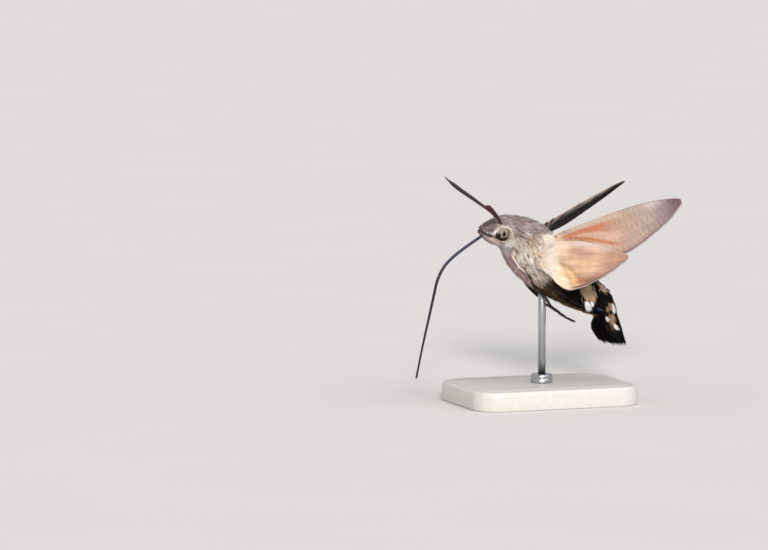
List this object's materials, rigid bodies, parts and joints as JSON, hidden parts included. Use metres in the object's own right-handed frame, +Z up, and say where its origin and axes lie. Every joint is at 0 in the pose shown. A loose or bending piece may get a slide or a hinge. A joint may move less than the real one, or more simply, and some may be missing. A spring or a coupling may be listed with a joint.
{
  "type": "hummingbird hawk moth",
  "caption": "Life-size still model of a hovering hummingbird hawk moth with raised, swept-back wings and uncoiled tongue, on a flat base with one rod.",
  "frame": {"origin": "middle of the underside of the stand's base", "axes": "+Z up, the moth faces -Y, its left side is +X"},
  "size_m": [0.0296, 0.0393, 0.0347],
  "materials": {
    "coat_grey": "long soft scale hairs, matt",
    "coat_dark": "flat scales and hairs, matt",
    "coat_black": "long hair-scales in a fan, matt",
    "wing_fore": "fine overlapping scales, matt",
    "wing_hind": "fine overlapping scales, matt",
    "horn": "scaled horn, satin",
    "eye": "domed facets, gloss",
    "stand_paint": "satin paint",
    "stand_steel": "turned and brushed"
  },
  "bodies": {
    "root": {"head": "coat_grey", "eye_left": "eye", "eye_right": "eye", "palp_left": "coat_grey", "palp_right": "coat_grey", "antenna_left": "horn", "antenna_right": "horn", "proboscis_upper": "horn", "proboscis_middle": "horn", "proboscis_lower": "horn", "thorax": "coat_grey", "abdomen": "coat_dark", "tail_fan": "coat_black", "forewing_left": "wing_fore", "forewing_right": "wing_fore", "hindwing_left": "wing_hind", "hindwing_right": "wing_hind", "stand_base": "stand_paint", "stand_collar": "stand_steel", "stand_rod": "stand_steel", "leg_fore_left": "coat_grey", "leg_mid_left": "coat_dark", "leg_hind_left": "coat_dark", "leg_fore_right": "coat_grey", "leg_mid_right": "coat_dark", "leg_hind_right": "coat_dark"}
  },
  "joints": []
}
